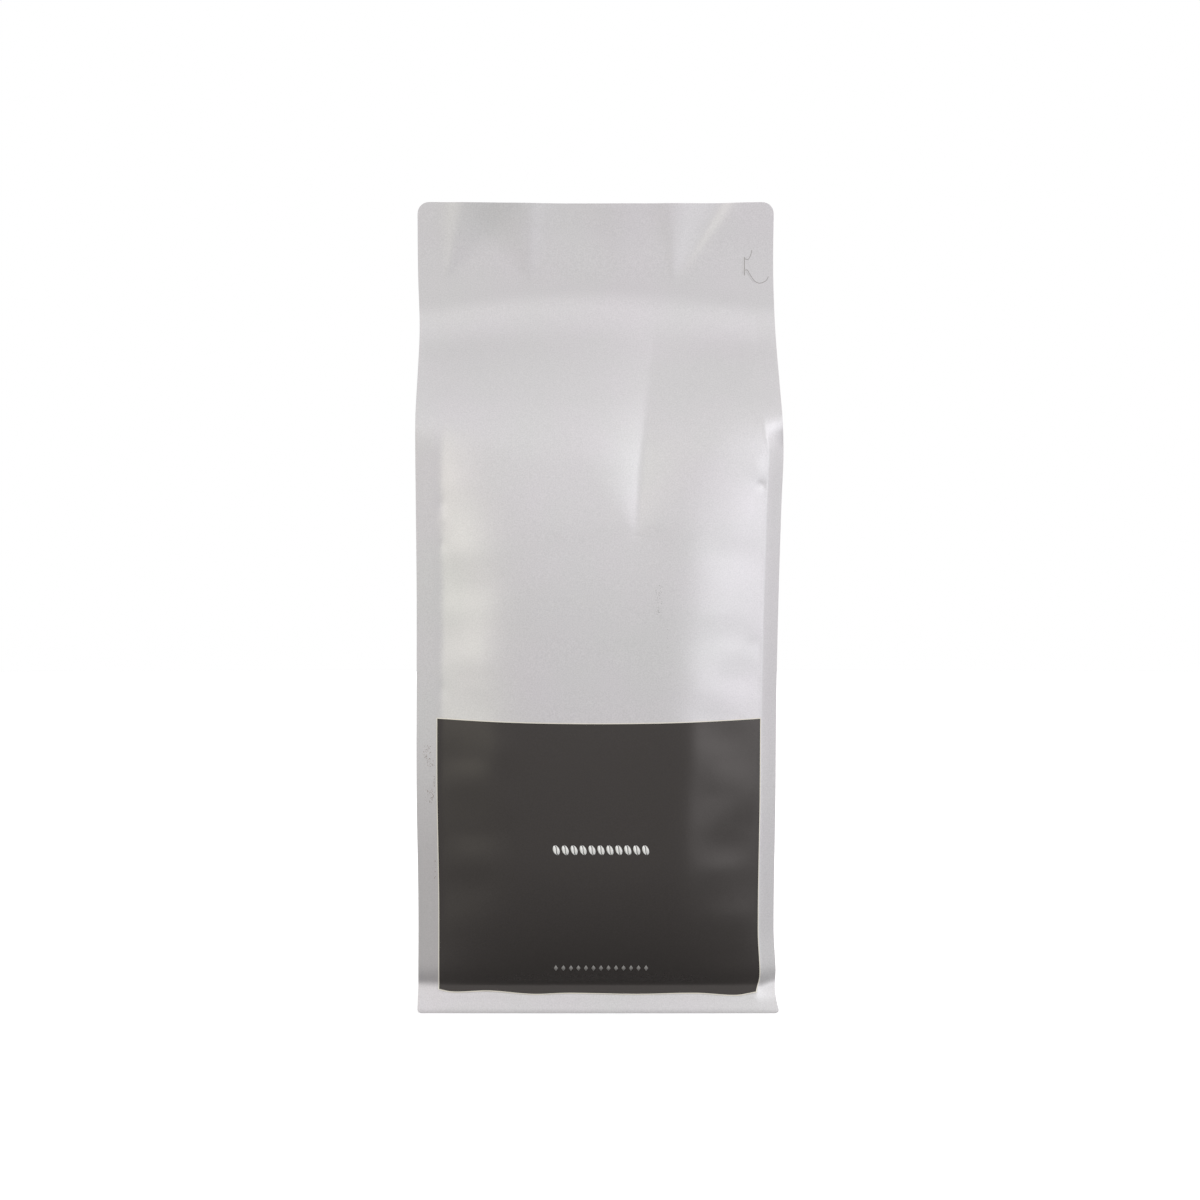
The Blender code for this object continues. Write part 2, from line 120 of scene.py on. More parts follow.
# %% [markdown]
# ## The pouch: its sizes
#
# A flat-bottomed pouch is made from one web of film: a front and a back panel, two side gussets and a
# base, welded together along seams 8 mm wide that stand out as flat fins. The beans push the lower
# panels out and leave the head empty, so its panels slope together to the sealed top. The sizes are
# the CAD model's, with thinner seams.

# %% Sizes of the pouch
BAG_HEIGHT = 336 * MM
SEAM_WIDTH = 8 * MM
FILM = 0.45 * MM
SEAM_HALF_DEPTH = 40 * MM  # from the middle of the bag to the root of a seam
GUSSET_HALF_WIDTH = 40.2 * MM  # film from a seam to the gusset's middle crease

# The bag's two edges seen from the front, as (height, x) in mm: it leans and narrows a little
LEFT_EDGE = [(0, -74.1), (12, -73.9), (46, -73.85), (95, -74.6), (168, -74.5), (230, -75.1)]
LEFT_EDGE += [(281, -75.4), (307, -76.2), (336, -76.4)]
RIGHT_EDGE = [(0, 73.6), (5, 72.5), (9, 72.1), (17, 72.4), (34, 71.6), (87, 72.35), (128, 72.7)]
RIGHT_EDGE += [(168, 73.55), (209, 74.85), (229, 75.65), (250, 74.85), (281, 74.1), (307, 73.3)]
RIGHT_EDGE += [(336, 73.55)]
TOP_CORNER_RADIUS = 5 * MM
FOOT_CORNER_RADIUS = 1.7 * MM
TOP_EDGE_DIP = 0.7 * MM  # the film is drawn down in the middle of the top edge
DIP_HALF_WIDTH = 74.667 * MM

# The foot: the seams are tucked in above it, and flare out onto the floor
FOOT_SEAM_HEIGHT = 6.5 * MM
FOOT_FLARE = 1.4 * MM
FOOT_FLARE_BOTTOM = 0.3 * MM
FOOT_FULLNESS = 1 * MM
TUCK_HEIGHT = 10.5 * MM
TUCK_DEPTH = 1.3 * MM
TUCK_HALF_WIDTH = 4.5 * MM
# Rings under the bag, in mm: in from the sides, in from the front, up
UNDERSIDE = [(0.5, 0.5, 0), (9, 5.4, 4.8), (13, 9, 0.3), (16, 12, 0)]

# The filled body: a flank starts, and is steepest, at these shares of the way from the middle to the
# seam; from its end on it levels off by the second share
FRONT_SWELL = 10.5 * MM
BACK_SWELL = 11.9 * MM
MIDDLE_CURVE = 0.1  # slope of a panel's middle, as a share of its flanks'
LEFT_FLANK = (0.25, 0.88)
RIGHT_FLANK = (0.34, 0.65)
LEFT_FLANK_END = (0.92, 0.85)
RIGHT_FLANK_END = (0.97, 0.3)
LOW_ROUNDING = (12 * MM, 68 * MM)  # the lower panel rounds out between these heights
GUSSET_SWELL = 3.5 * MM
GUSSET_FOLD_START = 120 * MM
GUSSET_LET_OUT = 0.97  # share of the fold that is pulled out where the top is sealed

# The empty head: slopes are shares of its steepest slope
SHOULDER_HEIGHT = 236 * MM
SIDE_DROP = 4 * MM  # how much earlier the head recedes at its sides
SIDE_DROP_END = (224 * MM, 250 * MM)
ROLL_START = 162 * MM  # from here up the front leans back ever more
ROLL_SLOPE = 0.13
BODY_SLOPE = 0.06
HEAD_TOP = 298 * MM
HEAD_BEND = 26 * MM  # height over which the slope turns upright
HEAD_FOOT = (226 * MM, 254 * MM)  # the slope eases off below this stretch
HEAD_ARCH = 6 * MM  # the bend lies higher in the middle than at the sides
HEAD_ROUNDING = 6.5 * MM
SIDE_ROUNDING = 3 * MM
BACK_ROUNDING = 4 * MM
PINCHED_HALF_DEPTH = 0.9 * MM  # where the press-to-close strip lies between the panels
TOP_SEAL_BOTTOM = 324 * MM
SEALED_HALF_DEPTH = 0.45 * MM
TOP_LEAN = 0.04

# The valley in the head's front, and how far the head's foot comes down on either side of it
VALLEY_FOOT = (15.3 * MM, 196 * MM)
VALLEY_TOP = (25.5 * MM, 296 * MM)
VALLEY_BEND = 1.3
VALLEY_DEPTH = 3.1 * MM
VALLEY_RAMP = 55 * MM
VALLEY_LEFT_SPREAD = 1.0
VALLEY_RIGHT_SPREAD = 1.3
VALLEY_FADE = (0.6, 1.0)
FOLD_DROP = 11 * MM
FOLD_LEFT = 38 * MM
FOLD_RIGHT = 20 * MM
FOLD_ROUNDING = 20 * MM
FOLD_FADE = 30 * MM

# How far each seam is turned back, in degrees; at its root it has turned by this share of that
LEFT_SEAM_TURN = 5
RIGHT_SEAM_TURN = 40
BACK_SEAM_TURN = 28
SEAM_BEND = 3.5 * MM
SEAM_START = 0.85
SEAM_TURNS_IN = (1 * MM, 15 * MM)
SEAM_TURNS_OUT = (229 * MM, 248 * MM)

# %% [markdown]
# ## The pouch: depths
#
# Each panel's depth is the lower of two soft surfaces: the swollen body, and the head that slopes back
# to the closing strip. Where they meet, the film folds in the wide V that shows how far the beans
# reach. A valley runs down the head to the point of that V, where the film is pinched to a dimple.

# %% Depth of the body, head and valley


def body_depth(height):
    tuck = TUCK_DEPTH * bump(height - TUCK_HEIGHT, TUCK_HALF_WIDTH)
    flare = FOOT_FLARE * (1 - ease(FOOT_FLARE_BOTTOM, FOOT_SEAM_HEIGHT, height))
    fullness = FOOT_FULLNESS * (1 - ease(FOOT_SEAM_HEIGHT, 2 * FOOT_SEAM_HEIGHT, height))
    return SEAM_HALF_DEPTH - tuck + flare + fullness


def head_slopes():
    """The head's depth, added up downwards: upright at the strip, steep, then rolling over."""
    z = np.linspace(BAG_HEIGHT, 0, 1000)
    bend = 1 - ease(HEAD_TOP - HEAD_BEND, HEAD_TOP, z)
    roll = BODY_SLOPE + ROLL_SLOPE * np.clip((z - ROLL_START) / (HEAD_FOOT[0] - ROLL_START), 0, 1)
    fallen = np.cumsum(bend * (roll + (1 - ROLL_SLOPE) * ease(*HEAD_FOOT, z)))
    at_shoulder = np.interp(SHOULDER_HEIGHT + SIDE_DROP, z[::-1], fallen[::-1])
    depth = PINCHED_HALF_DEPTH + (SEAM_HALF_DEPTH - PINCHED_HALF_DEPTH) * fallen / at_shoulder
    return z[::-1], depth[::-1]


HEAD_PROFILE = head_slopes()


def head_depth(across, height):
    """The head recedes a little earlier at its sides than in its middle."""
    sealed = ease(HEAD_TOP, TOP_SEAL_BOTTOM, height)
    side = SIDE_DROP * across**4 * (1 - ease(*SIDE_DROP_END, height))
    depth = np.interp(height + side, *HEAD_PROFILE)
    return depth + (SEALED_HALF_DEPTH - PINCHED_HALF_DEPTH) * sealed


def panel_slopes(flank, flank_end):
    """A filled panel from its middle to a seam: nearly flat, then an even slope that eases off."""
    share = np.linspace(0, 1, 400)
    slope = MIDDLE_CURVE * share + ease(*flank, share)
    end, levelled = flank_end
    slope *= 1 - levelled * ease(end, 1, share)
    fallen = np.cumsum(slope)
    return share, 1 - fallen / fallen[-1]


LEFT_PANEL = panel_slopes(LEFT_FLANK, LEFT_FLANK_END)
RIGHT_PANEL = panel_slopes(RIGHT_FLANK, RIGHT_FLANK_END)


def swell(across, height, most):
    """How far a panel is pushed out at most, in its middle, and less towards its seams and foot."""
    left, right = np.interp(-across, *LEFT_PANEL), np.interp(across, *RIGHT_PANEL)
    foot, full = LOW_ROUNDING
    below = np.clip((full - height) / (full - foot), 0, 1)
    return most * np.where(across < 0, left, right) * (1 - below**3)


def beside_valley(x, height):
    """Distance from the valley's line, and the share of its height that is reached."""
    rise = (height - VALLEY_FOOT[1]) / (VALLEY_TOP[1] - VALLEY_FOOT[1])
    line = VALLEY_FOOT[0] + (VALLEY_TOP[0] - VALLEY_FOOT[0]) * max(rise, 0) ** VALLEY_BEND
    return x - line, rise


def valley(x, height):
    """A shallow cone that opens upwards from its point: curved on its left, even on its right."""
    away, rise = beside_valley(x, height)
    above = height - VALLEY_FOOT[1]
    opened = VALLEY_RAMP * (1 - np.exp(-np.maximum(above, 0) / VALLEY_RAMP)) + 1 * MM
    left = np.maximum(1 + away / (VALLEY_LEFT_SPREAD * opened), 0) ** 2
    right = np.maximum(1 - away / (VALLEY_RIGHT_SPREAD * opened), 0) ** 1.6
    fading = 1 - ease(*VALLEY_FADE, rise)
    deep = VALLEY_DEPTH * opened / (0.6 * VALLEY_RAMP)
    return np.where(above > 0, deep * fading * np.where(away < 0, left, right), 0)


def fold_drop(x, height):
    """How much earlier the head recedes near the valley, so that its foot comes down to a V."""
    away, _ = beside_valley(x, height)
    sharp = ease(VALLEY_FOOT[1] - 12 * MM, VALLEY_FOOT[1] + 4 * MM, height)
    rounding = 1 * MM + FOLD_ROUNDING * (1 - sharp)
    near = np.hypot(away, rounding) - rounding
    fading = 1 - ease(SHOULDER_HEIGHT - FOLD_FADE, SHOULDER_HEIGHT + FOLD_FADE, height)
    return FOLD_DROP * fading * np.exp(-near / np.where(away < 0, FOLD_LEFT, FOLD_RIGHT))


# %% [markdown]
# ## The pouch: the film's small unevenness
#
# Beans press soft bumps into the film beside the seams, the welded top is drawn into shallow upright
# ridges, and a seam puckers where it was bent. Soft noise from `mathutils` gives the bumps, because it
# is the same on each run; the ridges and puckers are placed one by one, as they are on this bag.

# %% Soft bumps, ridges and puckers
# Each pucker: x, height, depth (less than 0 stands out) and radius, in mm
PUCKERS = [(-65, 208, 0.2, 3), (-64.5, 201, -0.15, 3), (-65, 191, 0.2, 3), (-65, 132, 0.2, 3)]
PUCKERS += [(66.5, 215.5, 0.4, 1.9), (66, 222, -0.15, 4), (64, 150, 0.2, 4)]
PUCKERS += [(15.3, 194.6, 0.16, 1.1), (63.3, 6.4, -0.3, 1.3), (-63.6, 6.5, -0.3, 1.5)]
BUMP_WIDTH = 26 * MM  # a bump is wider than high, and several beans make one
BUMP_HEIGHT = 15 * MM
BUMP_RELIEF = 0.42 * MM
BUMPS_START = (14 * MM, 30 * MM)
BUMPS_END = (205 * MM, 225 * MM)
# Each ridge: its point's x and height in mm, how it leans, how fast it opens to its left and to its
# right, and how fast it rises; one that sinks instead is a dent
TOP_RIDGES = [(-64, 304, 0.24, 0.2, 0.45, 0.04), (-29, 304, -0.08, 0.5, 0.26, 0.045)]
TOP_RIDGES += [(8, 309, 0.1, 0.5, 0.3, 0.02), (31, 304, 0, 0.16, 0.4, 0.028)]
TOP_RIDGES += [(33, 304, 0.55, 0.5, 0.12, -0.05)]


def bean_bumps(x, across, height):
    """Beans press outwards where the film is pulled tight: beside the seams of the filled body."""
    near_seam = ease(0.4, 0.75, np.abs(across)) * (1 - np.abs(across) ** 12)
    filled = (1 - ease(*BUMPS_END, height)) * ease(*BUMPS_START, height)
    hills = [noise.noise(Vector((a / BUMP_WIDTH, 0.4, height / BUMP_HEIGHT))) for a in x]
    return BUMP_RELIEF * near_seam * filled * np.array(hills)


def puckers(x, across, height):
    depth = 0
    for spot_x, spot_z, deep, radius in PUCKERS:
        away = np.hypot(x - spot_x * MM, height - spot_z * MM)
        depth = depth + deep * MM * bump(away, radius * MM)
    return depth * (1 - np.abs(across) ** 30)


def top_wave(x, height):
    """The welded top leans forward a little, and its soft ridges open upwards from their points."""
    forward = TOP_LEAN * soft_max(height - HEAD_TOP, 0, 8 * MM)
    for point_x, point_z, lean, left, right, rising in TOP_RIDGES:
        above = soft_max(height - point_z * MM, 0, 3 * MM)
        away = x - point_x * MM - lean * above
        half_width = np.where(away < 0, left, right) * above + 1 * MM
        forward = forward + rising * above * bump(away, half_width)
    return forward


def front_depth(x, across, height):
    body = body_depth(height) + swell(across, height, FRONT_SWELL)
    body = body + bean_bumps(x, across, height)
    inside = 1 - np.abs(across) ** 4
    arch = HEAD_ARCH * (across**2 - 0.35) * ease(SHOULDER_HEIGHT, HEAD_TOP, height)
    head = head_depth(across, height + arch + fold_drop(x, height) * inside)
    head = head - np.minimum(valley(x, height) * inside, 0.6 * head)
    rounding = SIDE_ROUNDING + (HEAD_ROUNDING - SIDE_ROUNDING) * (1 - across**8)
    return soft_min(body, head, rounding) - puckers(x, across, height)


def back_depth(across, height):
    body = body_depth(height) + swell(across, height, BACK_SWELL)
    return soft_min(body, head_depth(across, height), BACK_ROUNDING)


# %% [markdown]
# ## The pouch: level outlines
#
# The skin is lofted: one outline of the bag is worked out at each height, and each is joined to the
# next. An outline runs along the front panel, round a seam, over the folded gusset, round the next
# seam, and on round the back. All have the same number of points, so plain quads join them.

# %% Outlines of the pouch
FRONT_STEPS = 136
BACK_STEPS = 44
GUSSET_STEPS = 18
SEAM_STEPS = [0, 0.7, 1.4, 2.1, 2.8, 3.5, 5.6, 7.7, 8]  # mm from the root


def crowded(steps):
    """Numbers from -1 to 1, closer together towards both ends, where the film bends most."""
    even = np.linspace(-1, 1, steps + 1)
    return 0.5 * even + 0.5 * np.sin(even * math.pi / 2)


def corner_cut(height):
    """How much narrower a seam is in the rounded corners of the top and foot."""
    top, foot = (TOP_CORNER_RADIUS, BAG_HEIGHT - height), (FOOT_CORNER_RADIUS, height)
    radius, from_edge = min(top, foot, key=lambda corner: corner[1])
    into = max(radius - from_edge, 0)
    return radius - math.sqrt(max(radius**2 - into**2, 0))


def seam_turn(full_turn, height):
    """A seam is turned back beside the filled body, and lies flat in the head and at the foot."""
    loose = ease(*SEAM_TURNS_IN, height) * (1 - ease(*SEAM_TURNS_OUT, height))
    return math.radians(full_turn) * loose


def seam_path(turn, width):
    """Lengths from a seam's root, and its directions there and between: it bends near the root."""
    lengths = np.array(SEAM_STEPS) * MM * width / SEAM_WIDTH
    directions = turn * (SEAM_START + (1 - SEAM_START) * ease(0, SEAM_BEND, lengths))
    return lengths, directions, (directions[1:] + directions[:-1]) / 2


def seam_reach(turn):
    """How far a seam stands out sideways."""
    lengths, _, between = seam_path(turn, SEAM_WIDTH)
    return np.sum(np.diff(lengths) * np.cos(between))


def fin(root, turn, side, facing, width, film):
    """A seam's outer and inner points from root to tip; side is 1 on the right, facing -1 in front."""
    lengths, directions, between = seam_path(turn, width)
    along = np.stack((side * np.cos(between), -facing * np.sin(between)), axis=1)
    steps = np.diff(lengths)[:, None] * along
    outer = np.array(root) + np.vstack(((0, 0), np.cumsum(steps, axis=0)))
    inward = np.stack((-side * np.sin(directions), -facing * np.cos(directions)), axis=1)
    return list(outer[1:]), list(outer + inward * film)


def gusset(front, back, side, depth, height):
    """Swollen low down, folded inwards under the head, and let out again in the seal."""
    folding = ease(GUSSET_FOLD_START, SHOULDER_HEIGHT, height)
    fold = math.sqrt(max(GUSSET_HALF_WIDTH**2 - depth**2, 0)) * folding
    fold *= 1 - GUSSET_LET_OUT * ease(HEAD_TOP, TOP_SEAL_BOTTOM - 2 * MM, height)
    swollen = GUSSET_SWELL * (1 - folding) * ease(0, 40 * MM, height)
    points = []
    for step in range(1, GUSSET_STEPS):
        share = step / GUSSET_STEPS
        crease = 1 - abs(2 * share - 1)
        x, y = front + (back - front) * share
        outwards = swollen * crease * (2 - crease) - fold * crease
        points.append(np.array((x + side * outwards, y)))
    return points


def side_points(front_root, back_root, side, width, depth, height):
    """Front seam, gusset and back seam; in the welded foot and top the seams meet."""
    film = min(FILM, 0.6 * depth)
    front_turn = seam_turn(RIGHT_SEAM_TURN if side > 0 else LEFT_SEAM_TURN, height)
    front_outer, front_inner = fin(front_root, front_turn, side, -1, width, film)
    back_outer, back_inner = fin(back_root, seam_turn(BACK_SEAM_TURN, height), side, 1, width, film)
    between = gusset(front_inner[0], back_inner[0], side, depth, height)
    inside = [*reversed(front_inner), *between, *back_inner]
    front_tip, back_tip = front_outer[-1], back_outer[-1]
    gaps = len(inside) + 1
    closed = [front_tip + (back_tip - front_tip) * (k + 1) / gaps for k in range(len(inside))]
    shut = 1 if height >= TOP_SEAL_BOTTOM else max(1 - height / FOOT_SEAM_HEIGHT, 0)
    inside = [a + (b - a) * shut for a, b in zip(inside, closed)]
    return [*front_outer, *inside, *reversed(back_outer)]


def panel_span(height):
    """The left and right ends of the front panel, between its seams."""
    left = follow(LEFT_EDGE, height) + seam_reach(seam_turn(LEFT_SEAM_TURN, height))
    right = follow(RIGHT_EDGE, height) - seam_reach(seam_turn(RIGHT_SEAM_TURN, height))
    return left, right


def outline(height):
    """The points of one level outline, anticlockwise from the front panel's left end."""
    left, right = panel_span(height)
    middle, half = (left + right) / 2, (right - left) / 2
    width = SEAM_WIDTH - corner_cut(height)
    across = crowded(FRONT_STEPS)
    x = middle + half * across
    front = np.stack((x, -front_depth(x, across, height)), axis=1)
    across = -crowded(BACK_STEPS)
    back = np.stack((middle + half * across, back_depth(across, height)), axis=1)
    depth = back[0][1]
    right_side = side_points(front[-1], back[0], 1, width, depth, height)
    left_side = side_points(front[0], back[-1], -1, width, depth, height)
    ring = np.array([*front, *right_side, *back, *reversed(left_side)])
    dip = TOP_EDGE_DIP * ease(HEAD_TOP, BAG_HEIGHT, height)
    x, y = ring[:, 0], ring[:, 1]
    z = height - dip * np.maximum(1 - (x / DIP_HALF_WIDTH) ** 2, 0)
    return np.stack((x, y - top_wave(x, height), z), axis=1)


# %% [markdown]
# ## The pouch: heights of the outlines
#
# Outlines are closest together where the film bends: in the foot, round the shoulder and in the top
# corners. `np.linspace` without its end point spaces each stretch.

# %% Heights of the outlines
# Each stretch: from and to in mm, and how many outlines
STRETCHES = [(0, 1.7, 3), (1.7, 6.5, 10), (6.5, 24, 36), (24, 190, 130), (190, 245, 70)]
STRETCHES += [(245, 300, 50), (300, 323.6, 28), (323.6, 324, 1), (324, 331, 6)]
spaced = [np.linspace(low, high, steps, endpoint=False) for low, high, steps in STRETCHES]
heights = np.concatenate(spaced) * MM
turns = np.radians(np.linspace(0, 90, 8))
heights = np.concatenate([heights, BAG_HEIGHT - TOP_CORNER_RADIUS * (1 - np.sin(turns))])
print(len(heights), "outlines of", len(outline(0)), "points")

# %% [markdown]
# ## The pouch: the skin
#
# `bmesh` joins the outlines. Below the foot the skin goes on: up behind the bottom seam, and down to
# the flat base that the bag stands on. It is closed, so light and shadow fall on it as on a full bag.

# %% Loft the pouch


def bridge(mesh, lower, upper):
    for i in range(len(lower)):
        j = (i + 1) % len(lower)
        mesh.faces.new((lower[i], lower[j], upper[j], upper[i]))


def finish_mesh(name, mesh, materials, smooth_degrees=60):
    """A bmesh becomes an object, shaded smooth except across sharp bends."""
    data = bpy.data.meshes.new(name)
    mesh.to_mesh(data)
    mesh.free()
    data.shade_smooth()
    data.set_sharp_from_angle(angle=math.radians(smooth_degrees))
    for material in materials:
        data.materials.append(material)
    made = bpy.data.objects.new(name, data)
    bpy.context.scene.collection.objects.link(made)
    return made


def underside_rings(foot):
    """In from the foot's edge: up behind the bottom seam, and down to the flat base."""
    half_x, half_y = foot[:, 0].max(), foot[:, 1].max()
    for inset_x, inset_y, rise in UNDERSIDE:
        scale = np.array((1 - inset_x * MM / half_x, 1 - inset_y * MM / half_y, 0))
        yield foot * scale + np.array((0, 0, rise * MM))


def loft_pouch(material):
    mesh = bmesh.new()
    rings = [[mesh.verts.new(point) for point in outline(height)] for height in heights]
    for lower, upper in zip(rings, rings[1:]):
        bridge(mesh, lower, upper)
    below = rings[0]
    for ring in underside_rings(outline(0)):
        inner = [mesh.verts.new(point) for point in ring]
        bridge(mesh, inner, below)
        below = inner
    mesh.faces.new(below[::-1])
    mesh.faces.new(rings[-1])
    return finish_mesh("pouch_film", mesh, [material])


# %% [markdown]
# ## Materials: small helpers
#
# Colours are picked as sRGB hex values, as a paint program shows them, but Blender mixes light in
# linear values, so one function turns them. Another adds a node to any tree, sets what is named, and
# links what it is given. Paper, dust and cut film vary softly between two colours, so they share one.

# %% Colour and node helpers


def srgb(hex_colour, alpha=1.0):
    channels = [int(hex_colour[i : i + 2], 16) / 255 for i in (1, 3, 5)]
    linear = [c / 12.92 if c <= 0.04045 else ((c + 0.055) / 1.055) ** 2.4 for c in channels]
    return (*linear, alpha)


def add(tree, kind, inputs=None, **settings):
    """Adds a node; inputs maps a socket's name or place to a value, a socket or a list of sockets."""
    made = tree.nodes.new(kind)
    for name, value in settings.items():
        setattr(made, name, value)
    for key, value in (inputs or {}).items():
        for item in value if isinstance(value, list) else [value]:
            if isinstance(item, bpy.types.NodeSocket):
                tree.links.new(item, made.inputs[key])
            else:
                made.inputs[key].default_value = item
    return made


def new_material(name):
    material = bpy.data.materials.new(name)
    material.use_nodes = True
    return material, material.node_tree, material.node_tree.nodes["Principled BSDF"]


def mottled(name, dark, light, spot_width, detail, roughness):
    """A dull material that varies between two colours; the rest comes too, for additions."""
    material, tree, shader = new_material(name)
    place = add(tree, "ShaderNodeTexCoord").outputs["Object"]
    spots = {"Vector": place, "Scale": 1 / spot_width, "Detail": detail}
    spot = add(tree, "ShaderNodeTexNoise", spots).outputs["Fac"]
    shades = {"Factor": spot, "A": srgb(dark), "B": srgb(light)}
    tone = add(tree, "ShaderNodeMix", shades, data_type="RGBA")
    tree.links.new(tone.outputs["Result"], shader.inputs["Base Color"])
    shader.inputs["Roughness"].default_value = roughness
    return material, tree, shader, spot


# %% [markdown]
# ## Material: metallised film with a matte lacquer
#
# The film is polyester with a vapour-thin coat of aluminium under a matte lacquer. The metal gives it
# a neutral silver and lets it pick up the studio lights; the lacquer scatters them, so there are only
# broad soft glows. The grain of the lacquer is a few hundredths of a millimetre wide and is drawn at
# half a millimetre, so that it shows at all. Low on the left seam the film's colour is mixed towards a
# darker grey: painted shade on the seam's lower part, beside the dark label. A mask in Object
# coordinates keeps it to that place.

# %% Matte metallised polyester
LACQUER_GRAIN = 0.5 * MM
CLOUD_WIDTH = 45.45 * MM
# Painted shade on the lower left seam: it fades in between the first and second value of each pair
PAINTED_SHADE_SEAM_X = (-62 * MM, -66 * MM)
PAINTED_SHADE_SEAM_Z = (128 * MM, 52 * MM)
PAINTED_SHADE_FOOT_Z = (8 * MM, 15 * MM)
PAINTED_SHADE_STRENGTH = 0.42


def matte_metallised_film():
    material, tree, shader = new_material("matte_metallised_polyester")
    place = add(tree, "ShaderNodeTexCoord").outputs["Object"]
    fine = {"Vector": place, "Scale": 1 / LACQUER_GRAIN, "Detail": 3.0}
    grain = add(tree, "ShaderNodeTexNoise", fine).outputs["Fac"]
    broad = {"Vector": place, "Scale": 1 / CLOUD_WIDTH, "Detail": 3.0}
    cloud = add(tree, "ShaderNodeTexNoise", broad).outputs["Fac"]
    patch = add(tree, "ShaderNodeMapRange", {"Value": cloud, "From Min": 0.35, "From Max": 0.65})
    mottle = {"Factor": patch.outputs["Result"], "A": srgb("#D8D4D7"), "B": srgb("#D6D4D5")}
    mottled = add(tree, "ShaderNodeMix", mottle, data_type="RGBA")
    shades = {"Value": grain, "From Min": 0.3, "From Max": 0.7, "To Min": 0.92, "To Max": 1.06}
    grey = add(tree, "ShaderNodeMapRange", shades)
    both = {"Factor": 1.0, "A": mottled.outputs["Result"], "B": grey.outputs["Result"]}
    grained = add(tree, "ShaderNodeMix", both, data_type="RGBA", blend_type="MULTIPLY")
    # Painted shade: the mask below mixes the lower left seam's colour towards a darker grey
    where = add(tree, "ShaderNodeSeparateXYZ", {"Vector": place})
    dull = PAINTED_SHADE_STRENGTH
    for axis, (start, end) in [("X", PAINTED_SHADE_SEAM_X), ("Z", PAINTED_SHADE_SEAM_Z), ("Z", PAINTED_SHADE_FOOT_Z)]:
        fade = {"Value": where.outputs[axis], "From Min": start, "From Max": end}
        mask = add(tree, "ShaderNodeMapRange", fade, interpolation_type="SMOOTHSTEP")
        share = {0: mask.outputs["Result"], 1: dull}
        dull = add(tree, "ShaderNodeMath", share, operation="MULTIPLY").outputs[0]
    wear_and_painted_shade = {"Factor": dull, "A": grained.outputs["Result"], "B": srgb("#A19D9C")}
    tone = add(tree, "ShaderNodeMix", wear_and_painted_shade, data_type="RGBA")
    bumped = add(tree, "ShaderNodeBump", {"Height": grain, "Distance": 0.02 * MM, "Strength": 0.5})
    rough = add(tree, "ShaderNodeMapRange", {"Value": grain, "To Min": 0.43, "To Max": 0.51})
    tree.links.new(tone.outputs["Result"], shader.inputs["Base Color"])
    tree.links.new(rough.outputs["Result"], shader.inputs["Roughness"])
    tree.links.new(bumped.outputs["Normal"], shader.inputs["Normal"])
    shader.inputs["Metallic"].default_value = 0.8
    return material


film = matte_metallised_film()
pouch = loft_pouch(film)
print("pouch:", len(pouch.data.polygons), "faces")

# %% [markdown]
# ## The label: a sheet of paper on the swollen film
#
# The label is charcoal paper, cut to the width between the seams and pressed onto the filled panel, so
# it takes on each swelling under it. First it is drawn flat: a grid whose upper edge sags a little and
# whose lower edge is wavy. The printed charcoal stops a hair short of the cut edge, on the outermost
# ring of faces, which an attribute marks for its own finish later: cream, partly the paper's core and
# partly a painted highlight where the edge catches the light.

# %% Flat label
LABEL_SIDE_MARGIN = 0.3 * MM
LABEL_TOP = 120.4 * MM
LABEL_TOP_SAG = 1.9 * MM
LABEL_FOOT = 8 * MM
# The lower edge, as (x, height) in mm, read this far to either side
LABEL_FOOT_LINE = [(-67, 9.5), (-60, 8.2), (-45, 8.6), (-27, 7.3), (-12, 7.7), (16.5, 7.3)]
LABEL_FOOT_LINE += [(41, 7.7), (57.5, 6.9), (66, 8.2)]
LABEL_FOOT_REACH = 66 * MM
LABEL_WIDTH = 134 * MM  # for the rim's share of it
PAPER_RIM = 0.32 * MM
LABEL_COLUMNS = 130
LABEL_ROWS = 110
DRAWN_IN_FRONT = 80 * MM  # where flat things are drawn
CUT_EDGE = "cut_edge"


def with_rim(steps, size):
    """Shares from 0 to 1 with one narrow cell at either end."""
    rim = PAPER_RIM / size
    return [0, *np.linspace(rim, 1 - rim, steps - 1), 1]


def flat_label():
    mesh = bmesh.new()
    cut_edge = mesh.faces.layers.int.new(CUT_EDGE)
    grid = []
    for up in with_rim(LABEL_ROWS, LABEL_TOP - LABEL_FOOT):
        row = []
        for share in with_rim(LABEL_COLUMNS, LABEL_WIDTH):
            across = 2 * share - 1
            top = LABEL_TOP - LABEL_TOP_SAG * (1 - across**2)
            foot = follow(LABEL_FOOT_LINE, LABEL_FOOT_REACH * across)
            height = foot + (top - foot) * up
            left, right = panel_span(height)
            half = (right - left) / 2 - LABEL_SIDE_MARGIN
            x = (left + right) / 2 + half * across
            row.append(mesh.verts.new((x, -DRAWN_IN_FRONT, height)))
        grid.append(row)
    for r in range(LABEL_ROWS):
        for c in range(LABEL_COLUMNS):
            face = mesh.faces.new((grid[r][c], grid[r][c + 1], grid[r + 1][c + 1], grid[r + 1][c]))
            on_rim = r in (0, LABEL_ROWS - 1) or c in (0, LABEL_COLUMNS - 1)
            face[cut_edge] = 1 if on_rim else 0
    return mesh


# %% [markdown]
# ## Materials: satin-coated charcoal paper, and its cream core with a painted edge highlight
#
# The label is paper with a thin satin coat, printed a solid charcoal. The coat gives a soft glow where
# the label turns towards a lamp, and the fibres under it, 0.3 mm long and drawn twice as coarse to
# show, mottle it faintly. Along the cut one sees the bare, matt, cream core; on the front rim the same
# cream is also a painted highlight, where the edge catches the light.

# %% Label paper
PAPER_FIBRE = 0.6 * MM


